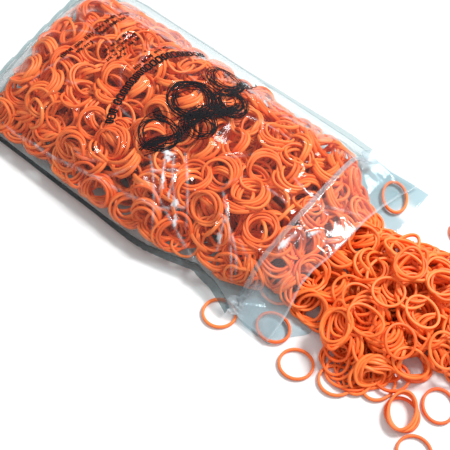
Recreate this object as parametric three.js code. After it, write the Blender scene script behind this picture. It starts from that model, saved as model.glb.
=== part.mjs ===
// A clear zip bag of orange elastic leg bands for poultry, opened at its mouth, with part of the
// bands spilled in front of it. Millimetres, +Z up, +X from the bag's closed end to its mouth.
// The origin is on the table under the middle of the bag.
import * as THREE from 'three';

// One band: a short slice cut from a rubber tube.
const BAND_OUTER_RADIUS = 9.8;
const BAND_WALL = 1.5;
const BAND_WIDTH = 2.1;
const BAND_SIDES = 20;
const BAND_MIDDLE_RADIUS = BAND_OUTER_RADIUS - BAND_WALL / 2;

// The bag, from its closed end to the edges of its two lips.
const BAG_START = -136;
const END_SKEW = 0.12;
const PANEL_END = 91;
const ZIP_START = 91.4;
const ZIP_END = 93.4;
const FRONT_LIP_START = 96;
const BACK_LIP_START = 93.8;
const FRONT_LIP_END = 120;
const BACK_LIP_END = 134;
const LEFT_EDGE = -71;
const RIGHT_EDGE = 67;
const SEAM_HEIGHT = 8;
const FILL_HEIGHT = 31;
const FILM = 0.4;
const WELD_WIDTH = 3;
const WELD_THICKNESS = 0.9;

// Space left between neighbouring solids.
const GAP = 0.3;
const FILL_GAP = 1.2;

// The bands that lie spilled on the table.
const HEAP_START = 135;
const HEAP_END = 240;
const HEAP_HEIGHT = 19;
const HEAP_RIM = 3;

// Grid of the two panels: steps along the bag, steps across the filled part, steps in each margin.
const LONG_STEPS = 20;
const FILL_STEPS = 12;
const MARGIN_STEPS = 2;

const clamp = THREE.MathUtils.clamp;
const smooth = (from, to, x) => THREE.MathUtils.smoothstep(x, from, to);

// Steps across a panel, from the left margin over the filled part to the right margin.
const CROSS_STEPS = FILL_STEPS + 2 * MARGIN_STEPS;

// ---------------------------------------------------------------- the shape of the filled bag

// The left edge is drawn in just behind the mouth, where the film is gathered.
function leftEdge(x) {
  return LEFT_EDGE + 11 * Math.exp(-(((x - 64) / 24) ** 2)) + 1.5 * smooth(80, 120, x);
}

function rightEdge(x) {
  return RIGHT_EDGE + 3 * smooth(80, 125, x);
}

// v runs from -1 at the left edge to 1 at the right edge.
function across(x, v) {
  const middle = (rightEdge(x) + leftEdge(x)) / 2;
  const half = (rightEdge(x) - leftEdge(x)) / 2;
  return middle + half * v;
}

// The closed end runs a little askew, because the full bag twists on the table.
function closedEnd(v) {
  return BAG_START - END_SKEW * across(BAG_START, v);
}

// Share of the bag's half width that the bands fill; outside it the two films lie together. The
// bands press against the left weld, and leave more film free at the right one.
function fillShare(x, v) {
  if (v < 0) return 0.96 - 0.06 * (1 - smooth(BAG_START, -95, x)) - 0.23 * smooth(60, 112, x);
  return 0.88 - 0.05 * (1 - smooth(BAG_START, -95, x)) - 0.32 * smooth(84, 120, x);
}

function seamHeight(x) {
  return SEAM_HEIGHT * smooth(BAG_START, -95, x) * (1 - smooth(84, 106, x));
}

// Height of the dome that the bands push up, above the seams.
function domeHeight(x, v) {
  const along = clamp((x - closedEnd(v)) / 46, 0, 1);
  const rise = FILL_HEIGHT * (1 - (1 - along) ** 2.3) ** 0.6;
  const mouthDrop = 4 * smooth(20, 92, x) + 7 * smooth(92, 125, x);
  const share = clamp(Math.abs(v) / fillShare(x, v), 0, 1);
  return Math.max(0, rise - mouthDrop) * (1 - share ** 3) ** 0.58;
}

// Underside of the upper film. The lip stands a little off the table beside the filled part.
function frontHeight(x, v) {
  return seamHeight(x) + 1 + 2.8 * smooth(94, 108, x) + domeHeight(x, v);
}

// Underside of the lower film: flat on the table, and lifted to the seams at both sides.
function backHeight(x, v) {
  return seamHeight(x) * smooth(0.6, 0.95, Math.abs(v));
}

// Places across the bag, closer together at the shoulders of the fill. step counts from the
// left edge of the filled part, and is below 0 or above FILL_STEPS in the margins.
function crossPlace(x, step) {
  const left = fillShare(x, -1);
  const right = fillShare(x, 1);
  if (step < 0) return -left + ((1 - left) * step) / MARGIN_STEPS;
  if (step > FILL_STEPS) return right + ((1 - right) * (step - FILL_STEPS)) / MARGIN_STEPS;
  const turn = Math.sin((step / FILL_STEPS - 0.5) * Math.PI);
  return turn * (turn < 0 ? left : right);
}

// The place of a panel's corner: long steps along the bag, and cross steps across it.
function panelPlace(long, cross) {
  const share = (long / LONG_STEPS) ** 1.5;
  const roughX = BAG_START + (PANEL_END - BAG_START) * share;
  const v = crossPlace(roughX, cross);
  return [closedEnd(v) + (PANEL_END - closedEnd(v)) * share, v];
}

// ---------------------------------------------------------------- the shape of the spilled heap

function heapLeft(x) {
  const bulge = 14 * (smooth(136, 156, x) - smooth(172, 190, x));
  return -52 - bulge + 8.5 * smooth(172, 190, x) + 17 * smooth(190, 204, x);
}

function heapRight(x) {
  return 34 + 12 * smooth(140, 164, x) - 14 * smooth(185, 215, x) - 18 * smooth(212, HEAP_END, x);
}

function heapHeight(x, y) {
  const middle = (heapRight(x) + heapLeft(x)) / 2;
  const half = (heapRight(x) - heapLeft(x)) / 2;
  const along = clamp((x - HEAP_START) / (HEAP_END - HEAP_START), 0, 1);
  const crown = (HEAP_HEIGHT - HEAP_RIM) * (1 - along ** 1.8);
  const share = clamp(Math.abs(y - middle) / half, 0, 1);
  return HEAP_RIM + crown * (1 - share ** 2.2) ** 0.75;
}

// ---------------------------------------------------------------- building blocks

const clearFilm = { color: 0xd8e4e4, roughness: 0.15, metalness: 0, transparent: true, opacity: 0.35 };
const zipPlastic = { color: 0xe6eeee, roughness: 0.3, metalness: 0, transparent: true, opacity: 0.6 };
const bandRubber = { color: 0xf2692e, roughness: 0.55, metalness: 0 };

const part = new THREE.Group();

function add(name, geometry, finish) {
  const mesh = new THREE.Mesh(geometry, new THREE.MeshStandardMaterial(finish));
  mesh.name = name;
  part.add(mesh);
  return mesh;
}

// A slab of longCount by crossCount cells. place gives the position for a long step, a cross step
// and a side, which is 0 underneath and 1 on top.
function slab(longCount, crossCount, place) {
  const geometry = new THREE.BoxGeometry(longCount, crossCount, 1, longCount, crossCount, 1);
  const position = geometry.getAttribute('position');
  for (let i = 0; i < position.count; i++) {
    const long = Math.round(position.getX(i) + longCount / 2);
    const cross = Math.round(position.getY(i) + crossCount / 2);
    const side = position.getZ(i) > 0 ? 1 : 0;
    position.setXYZ(i, ...place(long, cross, side));
  }
  cutUndersideLikeTop(geometry);
  geometry.computeVertexNormals();
  return geometry;
}

// Cuts the cells of the underside along the same diagonals as the top, so that film stays even.
function cutUndersideLikeTop(geometry) {
  const index = geometry.getIndex();
  const underside = geometry.groups[5];
  for (let i = underside.start; i < underside.start + underside.count; i += 6) {
    const [a, b, c, d] = [0, 1, 4, 2].map((k) => index.getX(i + k));
    [a, b, c, a, c, d].forEach((corner, k) => index.setX(i + k, corner));
  }
}

// A band lying flat, its axis along Z. oval stretches it along X and narrows it along Y at the
// same length round; warp bends it out of its plane like a saddle.
function bandGeometry(oval = 0, warp = 0) {
  const inner = BAND_OUTER_RADIUS - BAND_WALL;
  const half = BAND_WIDTH / 2;
  const section = [
    new THREE.Vector2(inner, -half),
    new THREE.Vector2(BAND_OUTER_RADIUS, -half),
    new THREE.Vector2(BAND_OUTER_RADIUS, half),
    new THREE.Vector2(inner, half),
    new THREE.Vector2(inner, -half),
  ];
  const geometry = new THREE.LatheGeometry(section, BAND_SIDES).rotateX(Math.PI / 2);
  const position = geometry.getAttribute('position');
  const lengthKept = 1 + (oval * oval) / 4;
  const long = (BAND_MIDDLE_RADIUS * (1 + oval)) / lengthKept;
  const short = (BAND_MIDDLE_RADIUS * (1 - oval)) / lengthKept;
  for (let i = 0; i < position.count; i++) {
    const angle = Math.atan2(position.getY(i), position.getX(i));
    const off = Math.hypot(position.getX(i), position.getY(i)) - BAND_MIDDLE_RADIUS;
    const normal = new THREE.Vector2(short * Math.cos(angle), long * Math.sin(angle)).normalize();
    const x = long * Math.cos(angle) + off * normal.x;
    const y = short * Math.sin(angle) + off * normal.y;
    position.setXYZ(i, x, y, position.getZ(i) + warp * Math.cos(2 * angle));
  }
  geometry.computeVertexNormals();
  return geometry;
}

const numbered = (name, index) => `${name}_${String(index + 1).padStart(2, '0')}`;

// ---------------------------------------------------------------- bag film

function addPanels() {
  const panel = (height) => (long, cross, side) => {
    const [x, v] = panelPlace(long, cross - MARGIN_STEPS);
    return [x, across(x, v), height(x, v) + side * FILM];
  };
  add('back_panel', slab(LONG_STEPS, CROSS_STEPS, panel(backHeight)), clearFilm);
  add('front_panel', slab(LONG_STEPS, CROSS_STEPS, panel(frontHeight)), clearFilm);
}

function addWelds() {
  const sideWeld = (edge, out) => (long, cross, side) => {
    const [x] = panelPlace(long, out > 0 ? FILL_STEPS + MARGIN_STEPS : -MARGIN_STEPS);
    const y = edge(x) + out * (GAP + cross * WELD_WIDTH);
    return [x, y, seamHeight(x) + 0.1 + side * WELD_THICKNESS];
  };
  const leftWeld = (long, cross, side) => sideWeld(leftEdge, -1)(long, 1 - cross, side);
  add('left_side_weld', slab(LONG_STEPS, 1, leftWeld), clearFilm);
  add('right_side_weld', slab(LONG_STEPS, 1, sideWeld(rightEdge, 1)), clearFilm);
  const endWeld = (long, cross, side) => {
    const v = cross * 2 - 1;
    return [closedEnd(v) - GAP - WELD_WIDTH * (1 - long), across(BAG_START, v), 0.1 + side * WELD_THICKNESS];
  };
  add('end_weld', slab(1, 1, endWeld), clearFilm);
}

// Each zip track is a strip with two ribs along it, and both are crushed together at the welds.
const TRACK_REACH = 0.915;

function addZip() {
  const track = (height, ribHeight) => (long, cross, side) => {
    const x = ZIP_START + ((ZIP_END - ZIP_START) * long) / 5;
    const v = TRACK_REACH * Math.sin((cross / FILL_STEPS - 0.5) * Math.PI);
    const rib = long === 1 || long === 2 || long === 4 ? ribHeight : 0;
    return [x, across(x, v), height(x, v) + side * (FILM + rib)];
  };
  add('front_zip_track', slab(5, FILL_STEPS, track(frontHeight, 0.5)), zipPlastic);
  add('back_zip_track', slab(5, FILL_STEPS, track(backHeight, 0.3)), zipPlastic);
  const crushedEnd = (out) => (long, cross, side) => {
    const steps = out > 0 ? cross : 2 - cross;
    const x = ZIP_START - 0.2 + 2.4 * long;
    const v = out * (TRACK_REACH + 0.01 + 0.035 * steps);
    const swell = steps === 1 ? 1.4 : 0;
    return [x, across(x, v), seamHeight(x) + side * (1 + swell)];
  };
  add('zip_end_left', slab(1, 2, crushedEnd(-1)), zipPlastic);
  add('zip_end_right', slab(1, 2, crushedEnd(1)), zipPlastic);
}

function addLips() {
  const frontEdge = (y) => {
    const gathered = -4 * Math.exp(-(((y + 32) / 16) ** 2));
    return FRONT_LIP_END + gathered + 7 * smooth(48, 68, y);
  };
  const backEdge = (y) => BACK_LIP_END - 14 * (1 - smooth(-69, -48, y));
  const lip = (start, edge, height, steps) => (long, cross, side) => {
    const reach = edge(across(FRONT_LIP_END, crossPlace(FRONT_LIP_END, cross - MARGIN_STEPS)));
    const x = start + ((reach - start) * long) / steps;
    const v = crossPlace(x, cross - MARGIN_STEPS);
    return [x, across(x, v), height(x, v) + side * FILM];
  };
  add('front_lip', slab(4, CROSS_STEPS, lip(FRONT_LIP_START, frontEdge, frontHeight, 4)), clearFilm);
  add('back_lip', slab(3, CROSS_STEPS, lip(BACK_LIP_START, backEdge, backHeight, 3)), clearFilm);
}

// ---------------------------------------------------------------- bands lying packed together

// The bands inside the bag, as one body that fills the space between the two films.
function addBagFill() {
  const skippedSteps = 3;
  const place = (long, cross, side) => {
    const [x, v] = panelPlace(long + skippedSteps, cross + 1);
    const top = frontHeight(x, v) - FILL_GAP;
    const bottom = backHeight(x, v) + FILM + 5 * GAP;
    return [x, across(x, v), side ? top : bottom];
  };
  add('band_fill', slab(LONG_STEPS - skippedSteps, FILL_STEPS - 2, place), bandRubber);
}

// The bands on the back lip, sliding out of the mouth.
function addSpill() {
  const place = (long, cross, side) => {
    const x = FRONT_LIP_START + ((HEAP_START - GAP - FRONT_LIP_START) * long) / 5;
    const v = crossPlace(x, cross + 1);
    const top = frontHeight(x, v) - FILL_GAP - 2.8 * smooth(94, 108, x);
    return [x, across(x, v), side ? top : backHeight(x, v) + FILM + 5 * GAP];
  };
  add('band_spill', slab(5, FILL_STEPS - 2, place), bandRubber);
}

function addHeap() {
  const longCount = 11;
  const crossCount = 10;
  const place = (long, cross, side) => {
    const x = HEAP_START + ((HEAP_END - HEAP_START) * long) / longCount;
    const share = Math.sin((cross / crossCount - 0.5) * Math.PI);
    const middle = (heapRight(x) + heapLeft(x)) / 2;
    const y = middle + (share * (heapRight(x) - heapLeft(x))) / 2;
    return [x, y, side ? heapHeight(x, y) : 0];
  };
  add('band_heap', slab(longCount, crossCount, place), bandRubber);
}

// ---------------------------------------------------------------- single bands

// Bands lying alone on the table: place, oval and turn in degrees.
const LOOSE_BANDS = [
  [139.5, -69, 0.05, 20],
  [200.4, -55.2, 0.06, 165],
  [217, -68.2, 0.02, 0],
  [212.8, -38.6, 0.06, 130],
  [243, -36.5, 0.05, 40],
  [262, -22, 0.16, 100],
  [251.5, -4, 0.04, 60],
  [268, 9.5, 0.12, 150],
  [249.5, 21, 0.08, 15],
  [231, 38, 0.18, 85],
  [210, 48, 0.05, 30],
  [188, 58.5, 0.1, 170],
  [166, 61, 0.03, 0],
  [203, 72, 0.09, 110],
];

function addLooseBands() {
  LOOSE_BANDS.forEach(([x, y, oval, turn], index) => {
    const band = add(numbered('loose_band', index), bandGeometry(oval), bandRubber);
    band.position.set(x, y, BAND_WIDTH / 2);
    band.rotation.z = THREE.MathUtils.degToRad(turn);
  });
}

// Bands caught at the mouth: one under the left weld, and one at each corner of it, lying between
// the two lips. Place, height, oval and turn.
function addCornerBands() {
  const corners = [
    ['corner_band_left', 87.5, -72.5, BAND_WIDTH / 2, 0.05, 30],
    ['corner_band_mouth', 116.5, -60.3, 2.2, 0.08, 0],
    ['corner_band_right', 119.5, 54, 2.2, 0.2, 130],
  ];
  for (const [name, x, y, z, oval, turn] of corners) {
    const band = add(name, bandGeometry(oval), bandRubber);
    band.position.set(x, y, z);
    band.rotation.z = THREE.MathUtils.degToRad(turn);
  }
}

// Lays a band on the heap: turned to the slope under it, and lifted until it is clear of it.
function layOnHeap(name, x, y, turn, lift, oval, warp) {
  const reach = BAND_MIDDLE_RADIUS;
  const slopeX = (heapHeight(x + reach, y) - heapHeight(x - reach, y)) / (2 * reach);
  const slopeY = (heapHeight(x, y + reach) - heapHeight(x, y - reach)) / (2 * reach);
  const normal = new THREE.Vector3(-slopeX, -slopeY, 1).normalize();
  const band = add(name, bandGeometry(oval, warp), bandRubber);
  band.quaternion.setFromUnitVectors(new THREE.Vector3(0, 0, 1), normal);
  band.rotateZ(turn);
  const position = band.geometry.getAttribute('position');
  let height = 0;
  for (let i = 0; i < position.count; i++) {
    const point = new THREE.Vector3().fromBufferAttribute(position, i).applyQuaternion(band.quaternion);
    height = Math.max(height, heapHeight(x + point.x, y + point.y) - point.z);
  }
  band.position.set(x, y, height + lift);
}

// Rows of bands across the heap. Each row is the number of bands and the place of its first one.
const LOWER_ROWS = [
  [4, 146.5, -44.5],
  [4, 167.3, -43],
  [3, 188.1, -33],
  [2, 208.9, -15],
];
const UPPER_ROWS = [
  [3, 156.9, -33],
  [3, 177.7, -30],
  [2, 198.5, -18],
];

function addHeapBands() {
  const spacing = 20.9;
  let index = 0;
  const addRows = (rows, lift, ovalStart, warp) => {
    for (const [count, x, firstY] of rows) {
      for (let column = 0; column < count; column++) {
        const oval = ovalStart + 0.02 * (index % 3);
        layOnHeap(numbered('heap_band', index), x, firstY + column * spacing, 2.4 * index, lift, oval, warp);
        index += 1;
      }
    }
  };
  addRows(LOWER_ROWS, 0.6, 0, 0.3);
  addRows(UPPER_ROWS, 5.5, 0.1, 0.5);
}

addPanels();
addWelds();
addZip();
addLips();
addBagFill();
addSpill();
addHeap();
addLooseBands();
addCornerBands();
addHeapBands();

export default part;
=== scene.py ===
"""A clear zip bag of orange elastic leg bands, opened at its mouth, with bands spilled before it.

Lengths are in millimetres until a mesh is made, and +X runs from the closed end to the mouth.
"""
import math

import bpy
import numpy as np
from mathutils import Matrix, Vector
from mathutils.bvhtree import BVHTree


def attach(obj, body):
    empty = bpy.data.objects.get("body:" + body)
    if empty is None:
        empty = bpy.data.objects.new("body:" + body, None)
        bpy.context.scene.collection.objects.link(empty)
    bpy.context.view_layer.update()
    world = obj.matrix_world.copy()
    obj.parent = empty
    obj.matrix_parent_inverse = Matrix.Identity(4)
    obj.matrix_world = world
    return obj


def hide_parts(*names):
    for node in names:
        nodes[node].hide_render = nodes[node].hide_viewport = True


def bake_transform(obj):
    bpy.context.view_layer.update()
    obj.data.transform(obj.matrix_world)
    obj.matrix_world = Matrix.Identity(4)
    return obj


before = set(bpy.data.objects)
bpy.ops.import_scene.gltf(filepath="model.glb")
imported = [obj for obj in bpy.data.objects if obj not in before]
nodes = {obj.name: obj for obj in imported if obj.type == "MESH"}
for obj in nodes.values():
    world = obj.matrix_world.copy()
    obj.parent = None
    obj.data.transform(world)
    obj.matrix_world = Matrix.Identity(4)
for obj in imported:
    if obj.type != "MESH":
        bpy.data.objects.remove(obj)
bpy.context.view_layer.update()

MM = 0.001
RANDOM = np.random.default_rng(7)

# One band: the radius of its middle line, its wall and its cut width.
BAND_RADIUS = 9.05
BAND_WALL = 1.5
BAND_WIDTH = 2.1
CONTACT_RADIUS = 0.8

# Bands are simulated as closed chains of this many points. A CAD band has this many sides.
CHAIN = 28
CAD_BAND_SIDES = 20

# A band's middle line bends in no more waves than this round its length.
WAVES = 4


# ------------------------------------------------------------------ helpers

def smooth(start, end, x):
    t = np.clip((x - start) / (end - start), 0, 1)
    return t * t * (3 - 2 * t)


def node_points(name):
    """The corners of a CAD node, in millimetres."""
    mesh = nodes[name].data
    points = np.empty(len(mesh.vertices) * 3)
    mesh.vertices.foreach_get("co", points)
    return points.reshape(-1, 3) / MM


def solid_tree(names):
    """One search tree over the faces of several CAD nodes, in millimetres."""
    corners, faces = [], []
    for name in names:
        start = len(corners)
        corners.extend(map(Vector, node_points(name)))
        faces.extend([[start + v for v in f.vertices] for f in nodes[name].data.polygons])
    return BVHTree.FromPolygons(corners, faces)


def heights(names, xs, ys, downwards):
    """Height of the nodes' top (seen downwards) or underside over a grid, nan where there is none."""
    tree = solid_tree(names)
    start, way = (200.0, -1.0) if downwards else (-50.0, 1.0)
    out = np.full((len(xs), len(ys)), np.nan)
    for i, x in enumerate(xs):
        for j, y in enumerate(ys):
            hit = tree.ray_cast(Vector((x, y, start)), Vector((0, 0, way)))[0]
            if hit is not None:
                out[i, j] = hit.z
    return out


def fill_gaps(grid):
    """Fills the nans of a grid along X where both sides are known, then outwards along Y."""
    grid = grid.copy()
    for column in grid.T:
        known = ~np.isnan(column)
        if known.sum() > 1:
            span = np.arange(np.argmax(known), len(column) - np.argmax(known[::-1]))
            column[span] = np.interp(span, np.nonzero(known)[0], column[known])
    for row in grid:
        known = ~np.isnan(row)
        if known.any():
            row[:] = np.interp(np.arange(len(row)), np.nonzero(known)[0], row[known])
    known_rows = ~np.isnan(grid[:, 0])
    for column in grid.T:
        column[:] = np.interp(np.arange(len(column)), np.nonzero(known_rows)[0], column[known_rows])
    return grid


class Field:
    """Heights over a regular grid, read in between by bilinear interpolation."""

    def __init__(self, xs, ys, values):
        self.xs, self.ys, self.values = xs, ys, values

    def at(self, x, y):
        i = np.clip((x - self.xs[0]) / (self.xs[1] - self.xs[0]), 0, len(self.xs) - 1.001)
        j = np.clip((y - self.ys[0]) / (self.ys[1] - self.ys[0]), 0, len(self.ys) - 1.001)
        i0, j0 = i.astype(int), j.astype(int)
        fi, fj = i - i0, j - j0
        v = self.values
        low = v[i0, j0] * (1 - fj) + v[i0, j0 + 1] * fj
        high = v[i0 + 1, j0] * (1 - fj) + v[i0 + 1, j0 + 1] * fj
        return low * (1 - fi) + high * fi


def new_object(name, corners, faces):
    """A mesh object from corners in millimetres and an array of quads or triangles."""
    mesh = bpy.data.meshes.new(name)
    corners = np.asarray(corners, float).reshape(-1, 3)
    faces = np.asarray(faces, np.int32)
    sides = faces.shape[1]
    mesh.vertices.add(len(corners))
    mesh.vertices.foreach_set("co", (corners * MM).ravel())
    mesh.loops.add(faces.size)
    mesh.loops.foreach_set("vertex_index", faces.ravel())
    mesh.polygons.add(len(faces))
    mesh.polygons.foreach_set("loop_start", np.arange(0, faces.size, sides, dtype=np.int32))
    mesh.polygons.foreach_set("use_smooth", np.ones(len(faces), bool))
    mesh.update(calc_edges=True)
    mesh.validate()
    obj = bpy.data.objects.new(name, mesh)
    bpy.context.collection.objects.link(obj)
    return obj


# ------------------------------------------------------------------ the space that the bands fill

FILL_NODES = ["band_fill", "band_spill", "band_heap"]
GRID = 2.0

# The bands reach their full height this far from the closed end.
CLOSED_END_SLOPE = 16

fill_low = np.min([node_points(n).min(0) for n in FILL_NODES], axis=0)
fill_high = np.max([node_points(n).max(0) for n in FILL_NODES], axis=0)
MOUTH = node_points("front_lip").max(0)[0]


class Space:
    """Where bands may lie: between a floor and a roof, and between two sides.

    Inside the bag the bands press further out than the CAD fill, nearly to the edges of the film.
    """

    def __init__(self, film):
        xs = np.arange(fill_low[0] + 0.5 - 6 * GRID, fill_high[0], GRID)
        ys = np.arange(fill_low[1] + 0.5 - 3 * GRID, fill_high[1] + 2 * GRID, GRID)
        roof = heights(FILL_NODES, xs, ys, True)
        floor = heights(FILL_NODES, xs, ys, False)
        self.end = xs[-1]
        inside = ~np.isnan(roof)
        rows = [i for i in range(len(xs)) if inside[i].any()]
        left = np.array([ys[np.nonzero(inside[i])[0][0]] for i in rows])
        right = np.array([ys[np.nonzero(inside[i])[0][-1]] for i in rows])
        x = xs[rows]
        in_bag = 1 - smooth(70, 95, x)
        left = np.where(in_bag > 0, np.maximum(left - 6 * in_bag, film.left(x) + 1.2), left)
        right = np.where(in_bag > 0, np.minimum(right + 4.5 * in_bag, film.right(x) - 1.2), right)
        self.rows = (x, left, right)
        self.film = film
        open_heap = smooth(MOUTH - 2, MOUTH + 12, xs)[:, None]
        floor = fill_gaps(floor) - 0.5 * (1 - open_heap)
        from_end = (xs[:, None] - film.start(ys)[None] - 2) / CLOSED_END_SLOPE
        rise = np.clip(from_end, 0.05, 1) ** 0.6
        side = np.interp(xs, *self.rows[:2])[:, None], np.interp(xs, self.rows[0], self.rows[2])[:, None]
        inwards = np.minimum(ys[None] - side[0], side[1] - ys[None])
        crown = 0.6 + 4.5 * open_heap * smooth(0, 16, inwards)
        self.roof = Field(xs, ys, floor + (fill_gaps(roof) - floor) * rise + crown)
        self.floor = Field(xs, ys, floor)

    def sides(self, x):
        xs, left, right = self.rows
        return np.interp(x, xs, left), np.interp(x, xs, right)

    def start(self, y):
        return self.film.start(y) + 4

    def limits(self, x, y):
        floor = self.floor.at(x, y)
        return floor, np.maximum(self.roof.at(x, y), floor + 2.5)


# ------------------------------------------------------------------ band shapes

def cad_band_line(name):
    """The middle line of a CAD band, as CHAIN points in order round it."""
    points = node_points(name)
    centre = points.mean(0)
    axes = np.linalg.svd(points - centre, full_matrices=False)[2]
    flat = (points - centre) @ axes.T
    angle = np.arctan2(flat[:, 1], flat[:, 0])
    order = np.argsort(angle)
    angle, points = angle[order], points[order]
    gaps = np.diff(angle, prepend=angle[-1] - 2 * math.pi)
    starts = np.sort(np.argsort(gaps)[-CAD_BAND_SIDES:])
    groups = np.array_split(np.roll(points, -starts[0], 0), (starts - starts[0])[1:])
    line = np.array([g.mean(0) for g in groups])
    return resample(line, CHAIN)


def resample(lines, count):
    """Closed lines of points (..., n, 3) read again at count points as smooth waves."""
    n = lines.shape[-2]
    spectrum = np.fft.rfft(lines, axis=-2)
    return np.fft.irfft(spectrum[..., : WAVES + 1, :], n=count, axis=-2) * (count / n)


def slackened(line, most_oval=0.2):
    """A band's line a little oval and warped, about the same centre and length."""
    centre = line.mean(0)
    axes = np.linalg.svd(line - centre, full_matrices=False)[2]
    turn = RANDOM.uniform(0, math.pi)
    oval, warp = RANDOM.uniform(0.03, most_oval), RANDOM.uniform(0.2, 1.3)
    flat = (line - centre) @ axes.T
    along = flat[:, 0] * math.cos(turn) + flat[:, 1] * math.sin(turn)
    over = flat[:, 1] * math.cos(turn) - flat[:, 0] * math.sin(turn)
    along, over = along * (1 + oval * 0.9), over * (1 - oval)
    lift = flat[:, 2] + warp * (along ** 2 - over ** 2) / BAND_RADIUS ** 2
    moved = np.stack([along * math.cos(turn) - over * math.sin(turn),
                      along * math.sin(turn) + over * math.cos(turn), lift], 1)
    return centre + moved @ axes


def nest(line, count):
    """Bands that lie on and in one another about a band's line."""
    up = np.array([0.0, 0.0, 1.0])
    return [slackened(line, 0.38) + up * 0.9 * (place + 1) + RANDOM.normal(0, 0.9, 3) * (1, 1, 0.3)
            for place in range(count)]


# ------------------------------------------------------------------ the pile of bands

class Pile:
    """Closed elastic chains that push each other apart while their space is pressed together.

    They start as a loose, stretched stack of bundles. Nothing keeps one band from passing through
    another, so many end up linked or overlapping, as real bands can't be.
    """

    LINKS = ((1, 0.9), (2, 0.5), (4, 0.28), (7, 0.09), (14, 0.03))
    STRETCHED = 5.5
    LAYER = 4.0
    SPACING = 20.2
    TILT = 1.5
    MOST_IN_BUNDLE = 4
    BUNDLE_STEP = 2.0

    def __init__(self, space, fixed_lines):
        self.space = space
        self.bands = self.start_places()
        self.count = len(self.bands)
        self.fixed = np.asarray(fixed_lines).reshape(-1, 3)
        # On the open heap each band keeps its own distance from the edge, so that the edge is ragged.
        self.inset = np.repeat(np.abs(RANDOM.normal(0, 3.5, self.count)) - 1, CHAIN)
        total = self.count * CHAIN
        self.band_of = np.repeat(np.arange(self.count), CHAIN)
        self.step_of = np.tile(np.arange(CHAIN), self.count)
        fixed_count = len(self.fixed)
        self.band_of = np.concatenate([self.band_of, -1 - np.arange(fixed_count)])
        self.step_of = np.concatenate([self.step_of, np.zeros(fixed_count, int)])
        self.movable = np.arange(total + fixed_count) < total

    def start_places(self):
        angle = np.arange(CHAIN) * 2 * math.pi / CHAIN
        circle = np.stack([np.cos(angle), np.sin(angle)], 1) * BAND_RADIUS
        column, row = np.meshgrid(np.arange(-14, 28), np.arange(-16, 16))
        bands = []
        for layer in range(int(45 / self.LAYER)):
            height = (layer + 0.5) * self.LAYER
            shift = RANDOM.uniform(0, self.SPACING, 2)
            turn = RANDOM.uniform(0, math.pi / 3)
            grid_x = ((column + 0.5 * (row % 2)) * self.SPACING).ravel()
            grid_y = (row * self.SPACING * 0.866).ravel()
            x = grid_x * math.cos(turn) - grid_y * math.sin(turn) + 50 + shift[0]
            y = grid_x * math.sin(turn) + grid_y * math.cos(turn) + shift[1]
            x = x + RANDOM.normal(0, 1.2, x.size)
            y = y + RANDOM.normal(0, 1.2, y.size)
            left, right = self.space.sides(x)
            floor, roof = self.space.limits(x, np.clip(y, left + 7, right - 7))
            inside = (x > self.space.start(y) + 6) & (x < self.space.end - 8)
            inside &= (y > left + 3) & (y < right - 3) & (floor + height < roof)
            for cx, cy, low in zip(x[inside], y[inside], floor[inside]):
                normal = Vector((RANDOM.normal(0, self.TILT), RANDOM.normal(0, self.TILT), 1)).normalized()
                side = np.array(normal.cross(Vector((0.3, 1, 0.1))).normalized())
                other = np.array(normal.cross(Vector(side)))
                centre = np.array([cx, cy, low + height * self.STRETCHED])
                for place in range(RANDOM.integers(1, self.MOST_IN_BUNDLE + 1)):
                    offset = np.array(normal) * (place * self.BUNDLE_STEP) + RANDOM.normal(0, 0.7, 3)
                    bands.append(centre + offset + circle[:, :1] * side + circle[:, 1:] * other)
        return np.array(bands)

    def near_pairs(self, points, reach):
        """Pairs of points closer than reach that aren't close along the same band."""
        cell = np.floor((points - points.min(0)) / reach).astype(np.int64) + 1
        size = cell.max(0) + 2
        key = (cell[:, 0] * size[1] + cell[:, 1]) * size[2] + cell[:, 2]
        order = np.argsort(key, kind="stable")
        keys = key[order]
        first = np.arange(len(keys))
        own_end = np.searchsorted(keys, keys, side="right")
        spans = [(first + 1, own_end), (own_end, np.searchsorted(keys, keys + 1, side="right"))]
        for dx, dy in ((0, 1), (1, -1), (1, 0), (1, 1)):
            shifted = keys + (dx * size[1] + dy) * size[2]
            spans.append((np.searchsorted(keys, shifted - 1, side="left"),
                          np.searchsorted(keys, shifted + 1, side="right")))
        left, right = [], []
        for begin, end in spans:
            many = np.maximum(end - begin, 0)
            inner = np.arange(many.sum()) - np.repeat(np.cumsum(many) - many, many)
            left.append(order[np.repeat(first, many)])
            right.append(order[np.repeat(begin, many) + inner])
        i, j = np.concatenate(left), np.concatenate(right)
        apart = points[i] - points[j]
        near = np.einsum("ij,ij->i", apart, apart) < reach * reach
        along = np.abs(self.step_of[i] - self.step_of[j])
        along = np.minimum(along, CHAIN - along)
        near &= (self.band_of[i] != self.band_of[j]) | (along > 3)
        near &= self.movable[i] | self.movable[j]
        return i[near], j[near]

    def keep_shape(self, points):
        chains = points.reshape(self.count, CHAIN, 3)
        move = np.zeros_like(chains)
        for step, stiffness in self.LINKS:
            rest = 2 * BAND_RADIUS * math.sin(math.pi * step / CHAIN)
            apart = np.roll(chains, -step, 1) - chains
            length = np.sqrt((apart * apart).sum(2, keepdims=True)) + 1e-9
            pull = apart * (0.3 * stiffness * (length - rest) / length)
            move += pull
            move -= np.roll(pull, step, 1)
        return points + move.reshape(-1, 3)

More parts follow.
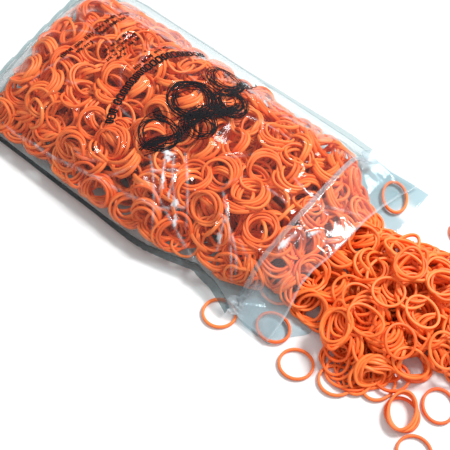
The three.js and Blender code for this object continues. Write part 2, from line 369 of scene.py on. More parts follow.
    def push_apart(self, points, pairs):
        every = np.concatenate([points, self.fixed])
        i, j = pairs
        apart = every[i] - every[j]
        distance = np.sqrt((apart * apart).sum(1)) + 1e-9
        touching = distance < 2 * CONTACT_RADIUS
        i, j = i[touching], j[touching]
        distance = distance[touching]
        push = apart[touching] * (0.5 * (2 * CONTACT_RADIUS - distance) / distance)[:, None]
        push[~(self.movable[i] & self.movable[j])] *= 2
        count = np.bincount(i, minlength=len(every)) + np.bincount(j, minlength=len(every))
        share = 1 / np.maximum(1, count * 0.5)
        for axis in range(3):
            total = np.bincount(i, push[:, axis], len(every)) - np.bincount(j, push[:, axis], len(every))
            points[:, axis] += (total * share)[: len(points)]
        return points

    def confine(self, points, stretch):
        points[:, 0] = np.clip(points[:, 0], self.space.start(points[:, 1]), self.space.end - self.inset)
        left, right = self.space.sides(points[:, 0])
        inset = CONTACT_RADIUS + self.inset * smooth(MOUTH, MOUTH + 12, points[:, 0])
        points[:, 1] = np.clip(points[:, 1], left + inset, right - inset)
        floor, roof = self.space.limits(points[:, 0], points[:, 1])
        top = floor + (roof - floor) * stretch - CONTACT_RADIUS
        low = floor + BAND_WIDTH / 2
        points[:, 2] = np.clip(points[:, 2], low, np.maximum(top, low + 0.3))
        return points

    def settle(self, steps):
        points = self.bands.reshape(-1, 3)
        before = points.copy()
        stretch = self.STRETCHED
        for step in range(steps):
            done = min(1, step / (steps * 0.72))
            last_stretch = stretch
            stretch = self.STRETCHED + (1 - self.STRETCHED) * (1 - (1 - done) ** 1.6)
            if step % 4 == 0:
                pairs = self.near_pairs(np.concatenate([points, self.fixed]), 2 * CONTACT_RADIUS + 1.2)
            speed = np.clip((points - before) * (0.5 if done < 1 else 0), -0.6, 0.6)
            before = points.copy()
            points = points + speed
            centre = points.reshape(self.count, CHAIN, 3).mean(1)
            floor = self.space.floor.at(centre[:, 0], centre[:, 1])
            drop = np.repeat((centre[:, 2] - floor) * (stretch / last_stretch - 1), CHAIN)
            points[:, 2] += drop - 0.02
            before[:, 2] += drop
            for _ in range(2):
                points = self.keep_shape(points)
            for _ in range(2):
                points = self.push_apart(points, pairs)
            points = self.confine(points, stretch)
        self.bands = points.reshape(self.count, CHAIN, 3)
        return self.bands


# ------------------------------------------------------------------ band meshes

ROUND = 40
SECTION_SIDES = 8


def band_section():
    """A rectangle with cut corners, wall across and width along the band's axis, and its normals."""
    corner = 0.3
    half_wall, half_width = BAND_WALL / 2, BAND_WIDTH / 2
    points, normals = [], []
    for sx, sy in ((1, 1), (-1, 1), (-1, -1), (1, -1)):
        pair = [((sx * half_wall, sy * (half_width - corner)), (sx, 0.35 * sy)),
                ((sx * (half_wall - corner), sy * half_width), (0.35 * sx, sy))]
        for point, normal in pair if sx * sy > 0 else reversed(pair):
            points.append(point)
            normals.append(normal)
    return np.array(points), np.array(normals)


def turned(section, radial, axial):
    """A flat section's vectors, turned to stand across each place of each band."""
    return (radial[:, :, None] * section[:, 0][None, None, :, None]
            + axial[:, :, None] * section[:, 1][None, None, :, None])


def band_mesh(name, lines):
    """One object with a closed rubber ring along each line. tone differs from band to band."""
    lines = resample(np.asarray(lines), ROUND)
    count = len(lines)
    tangent = np.roll(lines, -1, 1) - np.roll(lines, 1, 1)
    tangent /= np.linalg.norm(tangent, axis=2, keepdims=True)
    bend = np.roll(lines, -3, 1) + np.roll(lines, 3, 1) - 2 * lines
    inwards = bend / 3 + 0.25 * (lines.mean(1, keepdims=True) - lines)
    axial = np.cross(tangent, inwards)
    axial /= np.linalg.norm(axial, axis=2, keepdims=True) + 1e-9
    for _ in range(4):
        axial = axial + np.roll(axial, 1, 1) + np.roll(axial, -1, 1)
        axial -= tangent * (axial * tangent).sum(2, keepdims=True)
        axial /= np.linalg.norm(axial, axis=2, keepdims=True) + 1e-9
    radial = np.cross(tangent, axial)
    section, section_normals = band_section()
    corners = lines[:, :, None] + turned(section, radial, axial)
    corners[..., 2] = np.maximum(corners[..., 2], 0)
    ring = np.arange(ROUND)
    side = np.arange(SECTION_SIDES)
    a = ring[:, None] * SECTION_SIDES + side
    b = ring[:, None] * SECTION_SIDES + (side + 1) % SECTION_SIDES
    c = ((ring + 1) % ROUND)[:, None] * SECTION_SIDES + (side + 1) % SECTION_SIDES
    d = ((ring + 1) % ROUND)[:, None] * SECTION_SIDES + side
    quads = np.stack([a, d, c, b], 2).reshape(-1, 4)
    faces = (quads[None] + (np.arange(count) * ROUND * SECTION_SIDES)[:, None, None]).reshape(-1, 4)
    obj = new_object(name, corners, faces)
    normals = turned(section_normals, radial, axial).reshape(-1, 3)
    normals /= np.linalg.norm(normals, axis=1, keepdims=True)
    obj.data.normals_split_custom_set_from_vertices(normals)
    tone = obj.data.attributes.new("tone", "FLOAT", "POINT")
    tone.data.foreach_set("value", np.repeat(RANDOM.uniform(0, 1, count), ROUND * SECTION_SIDES))
    return obj


# ------------------------------------------------------------------ the shape of the film

FILM_STEP = 0.85
FILM_THICK = 0.15
DRAPE_GRID = 1.0
FRONT_NODES = ["front_panel", "front_zip_track", "front_lip"]
BACK_NODES = ["back_panel", "back_zip_track", "back_lip"]
ZIP_LOW, ZIP_HIGH = node_points("front_zip_track").min(0), node_points("front_zip_track").max(0)


class Outline:
    """The edges of a film from its CAD nodes: its sides for any x, and its ends for any y."""

    def __init__(self, names):
        self.ends = [node_edges(name) for name in names]
        points = np.concatenate([node_points(name) for name in names])
        corner = {(sx, sy): points[np.argmax(points[:, 0] * sx + points[:, 1] * sy)]
                  for sx in (-1, 1) for sy in (-1, 1)}
        self.left = self.side(0, corner[-1, -1][0], corner[1, -1][0], np.min)
        self.right = self.side(0, corner[-1, 1][0], corner[1, 1][0], np.max)
        self.start = self.side(1, corner[-1, -1][1], corner[-1, 1][1], np.min)
        self.end = self.side(1, corner[1, -1][1], corner[1, 1][1], np.max)

    def side(self, axis, low, high, pick):
        """A function that gives the outermost place across axis, between low and high along it."""
        places, found = np.arange(low + 0.3, high - 0.3, 1.0), []
        for place in places:
            crossings = []
            for first, second in self.ends:
                a, b = first[:, axis] - place, second[:, axis] - place
                cut = (a * b < 0)
                share = a[cut] / (a[cut] - b[cut])
                near, far = first[cut, 1 - axis], second[cut, 1 - axis]
                crossings.append(near + (far - near) * share)
            crossings = np.concatenate(crossings)
            found.append(pick(crossings) if len(crossings) else np.nan)
        found = np.array(found)
        known = ~np.isnan(found)
        return lambda where: np.interp(where, places[known], found[known])

    def grid(self, step):
        """Places in rows along the film and columns across it, about step apart."""
        middle_y = (self.left(0) + self.right(0)) / 2
        length = self.end(middle_y) - self.start(middle_y)
        along = np.linspace(0, 1, int(length / step))[:, None]
        across = np.linspace(0, 1, int((self.right(0) - self.left(0)) / step))[None, :]
        x = self.start(middle_y) + length * along + 0 * across
        for _ in range(3):
            y = self.left(x) + (self.right(x) - self.left(x)) * across
            x = self.start(y) + (self.end(y) - self.start(y)) * along
        return x, y


def node_edges(name):
    """The two ends of every edge of a CAD node, in millimetres."""
    points = node_points(name)
    pairs = np.array([e.vertices[:] for e in nodes[name].data.edges])
    return points[pairs[:, 0]], points[pairs[:, 1]]


class Creases:
    """Folds that stand up sharply from a film. A row is one fold's two ends, height, width and bow."""

    def __init__(self, rows):
        self.rows = rows

    def at(self, x, y):
        """Added height at each place."""
        total = np.zeros_like(x)
        for x0, y0, x1, y1, height, width, bow in self.rows:
            length = math.hypot(x1 - x0, y1 - y0)
            ux, uy = (x1 - x0) / length, (y1 - y0) / length
            along = ((x - x0) * ux + (y - y0) * uy) / length
            taper = np.clip(4 * along * (1 - along), 0, 1) ** 0.6
            off = (y - y0) * ux - (x - x0) * uy - bow * 4 * along * (1 - along)
            slope = np.where(off > 0, width, 0.45 * width)
            total += height * taper * np.exp(-np.abs(off / slope) ** 1.2)
        return total

    def ridge_highlight(self, x, y):
        """How much each place is whitened along the folds' ridges as a painted highlight, from 0 to 1."""
        most = np.zeros_like(x)
        for x0, y0, x1, y1, height, _, bow in self.rows:
            length = math.hypot(x1 - x0, y1 - y0)
            ux, uy = (x1 - x0) / length, (y1 - y0) / length
            along = ((x - x0) * ux + (y - y0) * uy) / length
            taper = np.clip(4 * along * (1 - along), 0, 1) ** 0.5
            off = (y - y0) * ux - (x - x0) * uy - bow * 4 * along * (1 - along)
            broken = 0.55 + 0.45 * np.sin(along * length * 0.9 + 2 * x0) * np.sin(along * length * 0.37 + y0)
            most = np.maximum(most, np.clip(height / 2, 0, 1) * taper * broken * np.exp(-(off / 0.5) ** 2))
        return most


def loose_creases(count, area, lengths, heading, spread, heights_mm):
    """Small folds scattered over an area, mostly along a heading in degrees."""
    rows = []
    for _ in range(count):
        x, y = RANDOM.uniform(area[0], area[1]), RANDOM.uniform(area[2], area[3])
        angle = math.radians(RANDOM.normal(heading, spread))
        half = RANDOM.uniform(*lengths) / 2
        dx, dy = half * math.cos(angle), half * math.sin(angle)
        rows.append((x - dx, y - dy, x + dx, y + dy, RANDOM.uniform(*heights_mm),
                     RANDOM.uniform(0.8, 2.2), RANDOM.normal(0, half * 0.12)))
    return rows


def cover_height(xs, ys, band_lines):
    """The top of the bands over a grid, and far below where there is none."""
    top = np.full((len(xs), len(ys)), -50.0)
    points = resample(band_lines, 56).reshape(-1, 3)
    reach = 1
    i0 = np.rint((points[:, 0] - xs[0]) / DRAPE_GRID).astype(int)
    j0 = np.rint((points[:, 1] - ys[0]) / DRAPE_GRID).astype(int)
    for di in range(-reach, reach + 1):
        for dj in range(-reach, reach + 1):
            i, j = i0 + di, j0 + dj
            ok = (i >= 0) & (i < len(xs)) & (j >= 0) & (j < len(ys))
            np.maximum.at(top, (i[ok], j[ok]), points[ok, 2] + BAND_WIDTH / 2 + 0.2)
    return top


def stiff_arch(top, xs, ys):
    """The zip is stiffer than the film, so over it the cover is a smooth arch."""
    rows = (xs > ZIP_LOW[0] - 1.5) & (xs < ZIP_HIGH[0] + 1.5)
    ridge = top[rows].max(0)
    inside = np.nonzero(ridge > 0)[0]
    ridge[: inside[0]], ridge[inside[-1]:] = ridge[inside[0]], ridge[inside[-1]]
    windows = [ridge[max(0, j - 9): j + 10].max() for j in range(len(ys))]
    kernel = np.hanning(25)
    smoothed = np.convolve(np.pad(windows, 12, mode="edge"), kernel / kernel.sum(), mode="valid")
    y_share = np.clip((ys - ZIP_LOW[1]) / (ZIP_HIGH[1] - ZIP_LOW[1]), 0, 1)
    held = np.clip(4 * y_share * (1 - y_share) * 2.2, 0, 1) ** 0.5
    top[rows] = np.maximum(top[rows], (smoothed * held)[None, :])
    return top


def drape(outline, band_lines, held_height):
    """The height of a film pulled tight over the bands and held at the sides and the closed end."""
    xs = np.arange(outline.start(0) - 12, outline.end(0) + 10, DRAPE_GRID)
    ys = np.arange(outline.left(0) - 3, outline.right(100) + 3, DRAPE_GRID)
    grid_x, grid_y = np.meshgrid(xs, ys, indexing="ij")
    top = stiff_arch(cover_height(xs, ys, band_lines), xs, ys)
    fixed = held_height.at(grid_x, grid_y)
    held = (grid_y < outline.left(grid_x) + 0.7) | (grid_y > outline.right(grid_x) - 0.7)
    held |= grid_x < outline.start(grid_y) + 0.7
    z = np.where(held, fixed, np.maximum(fixed, top))
    for _ in range(420):
        padded = np.pad(z, 1, mode="edge")
        mean = (padded[2:, 1:-1] + padded[:-2, 1:-1] + padded[1:-1, 2:] + padded[1:-1, :-2]) / 4
        z = np.where(held, fixed, np.maximum(top, mean - 0.004))
    return Field(xs, ys, z), Field(xs, ys, blurred((top > 0).astype(float), 3))


def blurred(grid, reach):
    """A grid averaged over squares of 2 * reach + 1 cells, twice."""
    for _ in range(2):
        for axis in (0, 1):
            padded = np.pad(grid, [(reach, reach) if k == axis else (0, 0) for k in (0, 1)], mode="edge")
            sums = np.cumsum(padded, axis=axis)
            sums = np.concatenate([np.zeros_like(np.take(sums, [0], axis)), sums], axis=axis)
            width = 2 * reach + 1
            ends = np.take(sums, np.arange(width, sums.shape[axis]), axis)
            grid = (ends - np.take(sums, np.arange(sums.shape[axis] - width), axis)) / width
    return grid


def paint(obj, name, values):
    """Stores values of a shell's grid on its points, on the upper and the lower side alike."""
    layer = obj.data.attributes.new(name, "FLOAT", "POINT")
    layer.data.foreach_set("value", np.tile(np.ravel(values), 2))


def shell(name, x, y, top, bottom):
    """A closed sheet between two heights over a grid of places."""
    rows, columns = x.shape
    upper = np.stack([x, y, top], 2).reshape(-1, 3)
    lower = np.stack([x, y, bottom], 2).reshape(-1, 3)
    index = np.arange(rows * columns).reshape(rows, columns)
    a, b, c, d = index[:-1, :-1], index[1:, :-1], index[1:, 1:], index[:-1, 1:]
    quads = np.stack([a, b, c, d], 2).reshape(-1, 4)
    below = quads[:, ::-1] + rows * columns
    rim = np.concatenate([index[0, :], index[1:, -1], index[-1, -2::-1], index[-2:0:-1, 0]])
    following = np.roll(rim, -1)
    edge = np.stack([rim, following, following + rows * columns, rim + rows * columns], 1)
    return new_object(name, np.concatenate([upper, lower]), np.concatenate([quads, below, edge]))


# ------------------------------------------------------------------ welds, zip and print

CRIMP_PITCH = 1.6
WELD_WIDTH = 3.2


def side_weld(name, cad_node, edge, out, film_height):
    """A crimped strip along one side of the bag, from the film's edge outwards and down."""
    low, high = node_points(cad_node).min(0), node_points(cad_node).max(0)
    along = np.arange(low[0] + 0.2, high[0], 0.35)
    x, share = np.meshgrid(along, np.linspace(-0.1, 1, 8) * out, indexing="ij")
    if out < 0:
        share = share[:, ::-1]
    width = WELD_WIDTH * (0.6 + 0.75 * smooth(-20, 80, x)) + 0.12 * np.sin(x / 9)
    y = edge(x) + share * width
    crimp = 0.1 * np.sin(2 * math.pi * x / CRIMP_PITCH) * np.clip(np.abs(share) * 5, 0, 1)
    droop = 1.4 * np.abs(share) ** 1.5 * smooth(0, 6, film_height(x, edge(x)))
    z = np.maximum(film_height(x, edge(x)) + crimp - droop, 0.35)
    return shell(name, x, y, z + 0.15, z - 0.15)


def end_weld(name, outline, film_height):
    """The crimped strip along the closed end."""
    y, share = np.meshgrid(np.arange(outline.left(-200), outline.right(-200), 0.35),
                           np.linspace(-1, 0.12, 7), indexing="xy")
    x = outline.start(y) + share * WELD_WIDTH * 0.7
    crimp = 0.1 * np.sin(2 * math.pi * y / CRIMP_PITCH) * np.clip(-share * 5, 0, 1)
    z = np.maximum(film_height(outline.start(y) + 0.8, y) + crimp, 0.35)
    return shell(name, x, y, z + 0.15, z - 0.15)


def zip_track(name, cad_node, film_height, ribs):
    """A strip of the zip with fine ribs along it, following the film under it."""
    low, high = node_points(cad_node).min(0), node_points(cad_node).max(0)
    x, y = np.meshgrid(np.linspace(low[0] - 0.5, high[0] + 0.5, 26), np.arange(low[1] + 0.5, high[1], 0.8),
                       indexing="ij")
    across = x - low[0]
    profile = sum(height * np.exp(-((across - place) / 0.24) ** 2) for place, height in ribs)
    z = film_height(x, y) + 0.06
    return shell(name, x, y, z + 0.1 + profile, z - 0.02)


def crushed_end(name, cad_node, film_height):
    """The place where the two tracks are melted together: a small lump with folds round it."""
    centre = node_points(cad_node).mean(0)
    u, v = np.meshgrid(np.linspace(-1, 1, 34), np.linspace(-1, 1, 34), indexing="ij")
    x, y = centre[0] + 5.6 * u * np.sqrt(1 - v * v / 2), centre[1] + 4.8 * v * np.sqrt(1 - u * u / 2)
    reach = np.clip(np.hypot(x - centre[0], y - centre[1]) / 5.4, 0, 1)
    turn = np.arctan2(y - centre[1], x - centre[0])
    folds = 0.5 + 0.3 * np.sin(9 * reach + 1.3 * x) + 0.2 * np.cos(2.1 * y + 2 * turn)
    z = film_height(x, y) + (0.25 + 1.3 * folds) * (1 - reach ** 3)
    return shell(name, x, y, z, z - 0.2)


def stroke(points, width, film_height):
    """A thin line of ink along points that lie on the film."""
    points = np.asarray(points, float)
    steps = max(2, int(np.linalg.norm(np.diff(points, axis=0), axis=1).sum() / 0.9))
    place = np.linspace(0, len(points) - 1, steps)
    line = np.stack([np.interp(place, np.arange(len(points)), points[:, k]) for k in (0, 1)], 1)
    heading = np.gradient(line, axis=0)
    heading /= np.linalg.norm(heading, axis=1, keepdims=True)
    side = np.stack([-heading[:, 1], heading[:, 0]], 1) * width / 2
    corners = []
    for lift in (0.12, 0.06):
        for way in (1, -1):
            flat = line + way * side
            corners.append(np.column_stack([flat, film_height(flat[:, 0], flat[:, 1]) + lift]))
    corners = np.stack(corners, 1)
    ring = [0, 2, 3, 1]
    faces = []
    for i in range(steps - 1):
        for k in range(4):
            a, b = ring[k], ring[(k + 1) % 4]
            faces.append([4 * i + a, 4 * i + b, 4 * i + 4 + b, 4 * i + 4 + a])
    faces.append([ring[0], ring[3], ring[2], ring[1]])
    faces.append([4 * (steps - 1) + k for k in ring])
    return corners.reshape(-1, 3), np.array(faces)


def bar_row(start, end, height, bars):
    """Upright bars in groups along a line, as generic print. Each group is as long as a word."""
    (x0, y0), (x1, y1) = start, end
    length = math.hypot(x1 - x0, y1 - y0)
    ux, uy = (x1 - x0) / length, (y1 - y0) / length
    strokes, at, left = [], 0.0, 0
    while at < length:
        if left == 0:
            left = RANDOM.integers(3, bars)
            at += height * 0.7
        size = height * RANDOM.choice([0.7, 1.0])
        x, y = x0 + ux * at, y0 + uy * at
        strokes.append([(x - uy * size / 2, y + ux * size / 2), (x + uy * size / 2, y - ux * size / 2)])
        at += height * RANDOM.choice([0.38, 0.5])
        left -= 1
    return strokes


def arch_of_blocks(centre, radius, first, last, height):
    """Small open blocks along an arch."""
    strokes = []
    angle = first
    while angle < last:
        width = RANDOM.choice([0.4, 0.55, 0.7]) * height
        step = width / radius
        corners = [(angle, -0.5), (angle, 0.5), (angle + step, 0.5), (angle + step, -0.5), (angle, -0.5)]
        strokes.append([(centre[0] - (radius + height * r) * math.cos(a),
                         centre[1] + (radius + height * r) * math.sin(a)) for a, r in corners])
        gap = 0.35 if RANDOM.random() < 0.9 else 1.0
        angle += step + gap * height / radius
    return strokes


def sketched_ring(centre, radius, passes):
    """A ring drawn with several loose pen lines, as a picture of a band."""
    strokes = []
    for _ in range(passes):
        turn = RANDOM.uniform(0, 2 * math.pi)
        sweep = RANDOM.uniform(2.4, 6.0)
        oval = RANDOM.normal(0.8, 0.1)
        lean = RANDOM.uniform(-0.6, 0.6)
        size = radius * RANDOM.uniform(0.75, 1.15)
        angles = np.linspace(turn, turn + sweep, 24)
        u, v = size * np.cos(angles), size * oval * np.sin(angles)
        cx, cy = centre + RANDOM.normal(0, 1.3, 2)
        strokes.append(np.stack([cx + u * math.cos(lean) - v * math.sin(lean),
                                 cy + u * math.sin(lean) + v * math.cos(lean)], 1))
    return strokes


def hatched_patch(centre, length, width, heading, count):
    """Many thin pen lines beside each other that together look nearly black."""
    strokes = []
    ux, uy = math.cos(heading), math.sin(heading)
    for _ in range(count):
        off = RANDOM.normal(0, width / 3)
        bow = RANDOM.normal(0, width / 3)
        start, end = sorted(RANDOM.uniform(-0.5, 0.5, 2) * length)
        along = np.linspace(start, max(end, start + length * 0.3), 12)
        over = off + bow * np.sin(np.linspace(0, math.pi, 12)) + RANDOM.normal(0, 0.12, 12)
        strokes.append(np.stack([centre[0] + along * ux - over * uy, centre[1] + along * uy + over * ux], 1))
    return strokes


def print_marks(name, film_height):
    """Generic black print on the bag: rows of bars, an arch of blocks, and a sketch of rings."""
    lines = []
    lines += [(s, 0.8) for s in bar_row((-86.5, -18), (-85.5, 42), 2.7, 9)]
    lines += [(s, 0.8) for s in bar_row((-82.4, -9), (-81.6, 3), 2.5, 7)]
    lines += [(s, 0.8) for s in bar_row((-82, 11), (-81, 35), 2.5, 8)]
    for row, (low, high) in enumerate([(2, 26), (0, 28), (-2, 27), (3, 12)]):
        lines += [(s, 0.75) for s in bar_row((-70 + 3.6 * row, low), (-69.5 + 3.6 * row, high), 2.3, 7)]
    lines += [(s, 1.25) for s in arch_of_blocks((46, 8), 87, -0.49, 0.52, 4.3)]
    lines += [(s, 0.8) for s in bar_row((-46, 4), (-45.5, 34), 2.6, 7)]
    for centre, radius, passes in (((-3, -20), 12, 12), ((-3, 10), 15, 20), ((-2, 38), 12, 14),
                                   ((13, 0), 9, 14), ((14, 24), 10, 16)):
        for s in sketched_ring(np.array(centre, float), radius, passes):
            lines.append((s, RANDOM.uniform(0.3, 0.85)))
    for centre, length, width, heading, count in (((1, -24), 26, 5, 1.1, 34), ((6, 2), 24, 6, 1.5, 36),
                                                  ((16, 17), 22, 5, 1.2, 30), ((9, 40), 22, 6, 1.7, 30)):
        patch = hatched_patch(centre, length, width, heading, count)
        lines += [(s, RANDOM.uniform(0.35, 0.8)) for s in patch]
    corners, faces, count = [], [], 0
    for points, width in lines:
        new_corners, new_faces = stroke(points, width, film_height)
        corners.append(new_corners)
        faces.append(new_faces + count)
        count += len(new_corners)
    return new_object(name, np.concatenate(corners), np.concatenate(faces))


# ------------------------------------------------------------------ materials

def new_material(name):
    """An empty node material, and a function that adds a node with some of its inputs set."""
    material = bpy.data.materials.new(name)
    material.use_nodes = True
    tree = material.node_tree
    tree.nodes.clear()

    def add(kind, links=None, **values):
        node = tree.nodes.new(kind)
        for key, value in values.items():
            if key in node.inputs:
                node.inputs[key].default_value = value
            else:
                setattr(node, key, value)
        for key, source in (links or {}).items():
            tree.links.new(source, node.inputs[key])
        return node

    return material, add


def rubber_material():
    """Satin orange rubber: each band has its own tone, with fine grain and a light dusting."""
    material, add = new_material("band_rubber")
    place = add("ShaderNodeTexCoord").outputs["Object"]
    tone = add("ShaderNodeAttribute", attribute_name="tone").outputs["Fac"]
    ramp = add("ShaderNodeValToRGB", {"Fac": tone})
    ramp.color_ramp.elements[0].color = (0.84, 0.105, 0.012, 1)
    ramp.color_ramp.elements[1].color = (0.92, 0.20, 0.040, 1)
    mottle = add("ShaderNodeTexNoise", {"Vector": place}, Scale=420, Detail=3)
    dusted = add("ShaderNodeMixRGB", {"Fac": mottle.outputs["Fac"], "Color1": ramp.outputs["Color"]},
                 blend_type="SOFT_LIGHT", Color2=(0.62, 0.58, 0.55, 1))
    grain = add("ShaderNodeTexNoise", {"Vector": place}, Scale=2600, Detail=2)
    bump = add("ShaderNodeBump", {"Height": grain.outputs["Fac"]}, Strength=0.25, Distance=0.0001)
    rough = add("ShaderNodeMapRange", {"Value": mottle.outputs["Fac"]})
    rough.inputs["To Min"].default_value = 0.42
    rough.inputs["To Max"].default_value = 0.62
    shader = add("ShaderNodeBsdfPrincipled", {"Base Color": dusted.outputs["Color"],
                                              "Roughness": rough.outputs["Result"],
                                              "Normal": bump.outputs["Normal"]})
    shader.inputs["Specular IOR Level"].default_value = 0.4
    add("ShaderNodeOutputMaterial", {"Surface": shader.outputs["BSDF"]})
    return material


def film_material(name, tint, shade_tint, roughness):
    """Clear film: it lets light through, mirrors more at low angles, and can be veiled and milky.

    The mesh's shade says how much of the shade tint it has; on the bare margins, in the mouth's pocket and
    on the left weld this is painted shade. Its haze says how milky it is, and on the front film it also
    holds painted highlights along the folds.
    """
    material, add = new_material(name)
    place = add("ShaderNodeTexCoord").outputs["Object"]
    shade = add("ShaderNodeAttribute", attribute_name="shade").outputs["Fac"]
    own_haze_and_highlight = add("ShaderNodeAttribute", attribute_name="haze_and_highlight").outputs["Fac"]
    ripple = add("ShaderNodeTexNoise", {"Vector": place}, Scale=230, Detail=3, Distortion=0.5)
    bump = add("ShaderNodeBump", {"Height": ripple.outputs["Fac"]}, Strength=0.3, Distance=0.0004)
    facing = add("ShaderNodeLayerWeight", {"Normal": bump.outputs["Normal"]}).outputs["Facing"]
    steep = add("ShaderNodeMath", {0: facing}, operation="POWER")
    steep.inputs[1].default_value = 5.0
    mirror = add("ShaderNodeMapRange", {"Value": steep.outputs[0]})
    mirror.inputs["To Min"].default_value = 0.017
    mirror.inputs["To Max"].default_value = 0.8
    # Painted shade: the shade attribute mixes the film's tint towards the shade tint.
    colour = add("ShaderNodeMixRGB", {"Fac": shade}, Color1=(*tint, 1), Color2=(*shade_tint, 1))
    clear = add("ShaderNodeBsdfTransparent", {"Color": colour.outputs["Color"]})
    gloss = add("ShaderNodeBsdfGlossy", {"Normal": bump.outputs["Normal"]}, Roughness=roughness)
    film = add("ShaderNodeMixShader", {"Fac": mirror.outputs["Result"],
                                       1: clear.outputs[0], 2: gloss.outputs[0]})
    clouds = add("ShaderNodeTexNoise", {"Vector": place}, Scale=60, Detail=3)
    cloudy = add("ShaderNodeMapRange", {"Value": clouds.outputs["Fac"]})
    cloudy.inputs["From Min"].default_value = 0.3
    cloudy.inputs["From Max"].default_value = 0.7
    cloudy.inputs["To Min"].default_value = 0.6
    cloudy.inputs["To Max"].default_value = 1.4
    haze_and_highlight = add("ShaderNodeMath", {0: own_haze_and_highlight, 1: cloudy.outputs["Result"]}, operation="MULTIPLY")
    milk = add("ShaderNodeBsdfDiffuse", Color=(0.68, 0.73, 0.76, 1))
    whole = add("ShaderNodeMixShader", {"Fac": haze_and_highlight.outputs[0], 1: film.outputs[0], 2: milk.outputs[0]})
    add("ShaderNodeOutputMaterial", {"Surface": whole.outputs[0]})
    return material


def ink_material():
    """Black print, thin and broken in places."""
    material, add = new_material("print_ink")
    place = add("ShaderNodeTexCoord").outputs["Object"]
    patches = add("ShaderNodeTexNoise", {"Vector": place}, Scale=700, Detail=4)
    cover = add("ShaderNodeMapRange", {"Value": patches.outputs["Fac"]})
    cover.inputs["From Min"].default_value = 0.25
    cover.inputs["From Max"].default_value = 0.42
    cover.inputs["To Min"].default_value = 0.8
    ink = add("ShaderNodeBsdfPrincipled", Roughness=0.6)
    ink.inputs["Specular IOR Level"].default_value = 0.15
    ink.inputs["Base Color"].default_value = (0.004, 0.004, 0.006, 1)
    gap = add("ShaderNodeBsdfTransparent")
    whole = add("ShaderNodeMixShader", {"Fac": cover.outputs["Result"],
                                        1: gap.outputs[0], 2: ink.outputs[0]})
    add("ShaderNodeOutputMaterial", {"Surface": whole.outputs[0]})
    return material


# ------------------------------------------------------------------ stage

def add_camera():
    target = Vector((52.5, -26, 0)) * MM
    azimuth, elevation = math.radians(40), math.radians(60)
    away = Vector((math.sin(azimuth) * math.cos(elevation),
                   -math.cos(azimuth) * math.cos(elevation),
                   math.sin(elevation)))
    camera = bpy.data.objects.new("camera", bpy.data.cameras.new("camera"))
    camera.data.angle = math.radians(27)
    camera.location = target + away * 0.560
    camera.rotation_euler = (-away).to_track_quat("-Z", "Y").to_euler()
    camera.data.clip_start = 0.01
    bpy.context.collection.objects.link(camera)
    bpy.context.scene.camera = camera


def add_area_light(name, place, target, size, power, colour=(1, 1, 1)):
    light = bpy.data.lights.new(name, "AREA")
    light.shape = "RECTANGLE"
    light.size, light.size_y = size
    light.energy = power
    light.color = colour
    obj = bpy.data.objects.new(name, light)
    obj.location = place
    obj.rotation_euler = (Vector(target) - Vector(place)).to_track_quat("-Z", "Y").to_euler()
    bpy.context.collection.objects.link(obj)


# Small lamps round the object that make the folds of the film glint: azimuth and elevation.
GLINT_LAMPS = [(20, 48), (88, 34), (125, 50), (215, 62)]


def add_stage():
    size = 1.5
    floor = new_object("floor", np.array([[-size, -size, 0], [size, -size, 0], [size, size, 0],
                                          [-size, size, 0]]) / MM, [[0, 1, 2, 3]])
    floor.location.z = -0.0002
    material = bpy.data.materials.new("floor")
    material.use_nodes = True
    material.node_tree.nodes["Principled BSDF"].inputs["Base Color"].default_value = (0.74, 0.74, 0.74, 1)
    material.node_tree.nodes["Principled BSDF"].inputs["Roughness"].default_value = 0.9
    floor.data.materials.append(material)
    world = bpy.data.worlds.new("studio")
    bpy.context.scene.world = world
    world.use_nodes = True
    world.node_tree.nodes["Background"].inputs["Color"].default_value = (1, 1, 1, 1)
    world.node_tree.nodes["Background"].inputs["Strength"].default_value = 0.62
    add_area_light("key", (0.33, 0.50, 0.82), (0.05, 0, 0), (0.26, 0.26), 12)
    for index, (azimuth, elevation) in enumerate(GLINT_LAMPS):
        azimuth, elevation = math.radians(azimuth), math.radians(elevation)
        place = (0.05 + 0.9 * math.cos(azimuth) * math.cos(elevation),
                 0.9 * math.sin(azimuth) * math.cos(elevation), 0.9 * math.sin(elevation))
        add_area_light(f"glint_{index + 1}", place, (0.05, 0, 0), (0.08, 0.08), 0.5)
    bpy.context.scene.view_settings.view_transform = "Standard"


# ------------------------------------------------------------------ build

def finish_piece(obj, material, body, slot, *cad_nodes):
    obj.data.materials.append(material)
    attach(obj, body)
    if cad_nodes:
        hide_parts(*cad_nodes)
    return obj


add_camera()
add_stage()
rubber = rubber_material()
# The clear film's shade tint is the painted shade of its bare margins and the mouth's pocket.
film = film_material("clear_film", (0.965, 0.985, 0.985), (0.80, 0.87, 0.89), 0.07)
# The weld film's shade tint is near black, for the painted shadow along the left seam.
weld_film = film_material("weld_film", (0.80, 0.88, 0.89), (0.10, 0.12, 0.12), 0.16)
zip_film = film_material("zip_plastic", (0.93, 0.955, 0.965), (0.75, 0.82, 0.85), 0.10)
ink = ink_material()

# Bands at the near edge of the heap: place, height, oval, turn and tilt in degrees.
STRAY_BANDS = [
    (184, -42, 3.2, 0.05, 20, 6),
    (181, -49.5, 1.2, 0.1, 80, 0),
    (162, -62.5, 1.2, 0.06, 30, 0),
    (170, -53.5, 2.6, 0.12, 110, 6),
]

# Two oval bands that lie on a loose one and are picked up with it.
PAIR_CARRIER = "loose_band_02"
PAIR = [
    (200.0, -54.5, 3.3, 0.16, 125, 3),
    (199.4, -54.9, 5.3, 0.2, 110, 5),
]


